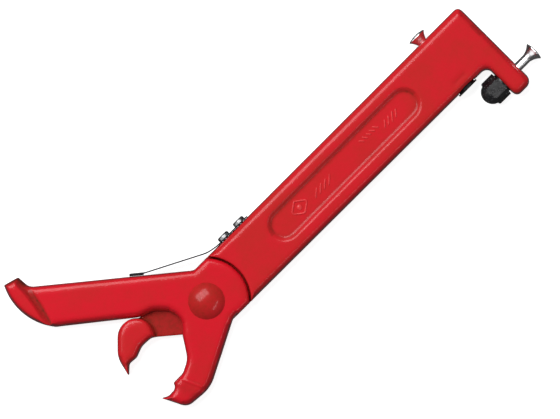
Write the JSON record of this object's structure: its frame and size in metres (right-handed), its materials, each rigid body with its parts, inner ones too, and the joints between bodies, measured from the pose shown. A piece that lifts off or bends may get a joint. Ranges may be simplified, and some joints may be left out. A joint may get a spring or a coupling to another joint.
{
  "type": "pipe wrench",
  "caption": "One-hand claw pipe wrench: a forged handle and a sprung lever riveted in a scissor joint, each ending in a hooked claw, with a foot and screws at the handle's end.",
  "frame": {"origin": "on the pivot's axis, on the flat underside that the wrench lies on", "axes": "+X along the handle away from the jaws, +Y towards the handle's back edge, +Z out of the face that shows the domed rivet"},
  "size_m": [0.4132, 0.173, 0.0282],
  "materials": {
    "handle_enamel": "gloss red enamel on a forging",
    "lever_enamel": "gloss red enamel on a forging",
    "rivet_enamel": "gloss red enamel over the rivet head",
    "burr_steel": "plain steel, worn",
    "sleeve_steel": "hardened and ground",
    "washer_steel": "rolled steel shim",
    "spring_steel": "blued spring steel",
    "spring_screw_steel": "plated steel",
    "foot_screw_steel": "bright plated steel",
    "foot_washer_steel": "black oxide steel",
    "foot_nut_steel": "zinc plated",
    "cap_plastic": "glossy black moulding",
    "handle_screw_steel": "bright plated steel",
    "handle_nut_steel": "dark plated steel"
  },
  "bodies": {
    "handle": {"handle_forging": "handle_enamel", "pivot_rivet": "rivet_enamel", "rivet_burr": "burr_steel", "thrust_washer": "washer_steel", "leaf_spring": "spring_steel", "spring_screw_near": "spring_screw_steel", "spring_screw_far": "spring_screw_steel", "handle_screw": "handle_screw_steel", "handle_nut": "handle_nut_steel"},
    "lever": {"lever_forging": "lever_enamel", "pivot_sleeve": "sleeve_steel"},
    "foot_washer": {"foot_washer": "foot_washer_steel"},
    "foot_screw": {"foot_screw": "foot_screw_steel", "foot_nut": "foot_nut_steel", "foot_nut_cap": "cap_plastic"}
  },
  "joints": [
    {"name": "jaw_pivot", "type": "hinge", "parent": "handle", "child": "lever", "pos_m": [0, 0, 0], "axis": [0, 0, -1], "range_deg": [0, 21], "stiffness_Nm_per_rad": 2, "springref_deg": -20.05, "deforming": ["leaf_spring"]},
    {"name": "foot_screw_travel", "type": "slide", "parent": "handle", "child": "foot_washer", "axis": [-1, 0, 0], "range_m": [0, 0.0085]},
    {"name": "foot_screw_turn", "type": "hinge", "parent": "foot_washer", "child": "foot_screw", "pos_m": [0.28, -0.0413, 0.011], "axis": [-1, 0, 0], "range_deg": [0, 2450]}
  ],
  "couplings": [
    {"joint": "foot_screw_turn", "follows": "foot_screw_travel", "rad_per_m": 5026.5}
  ]
}
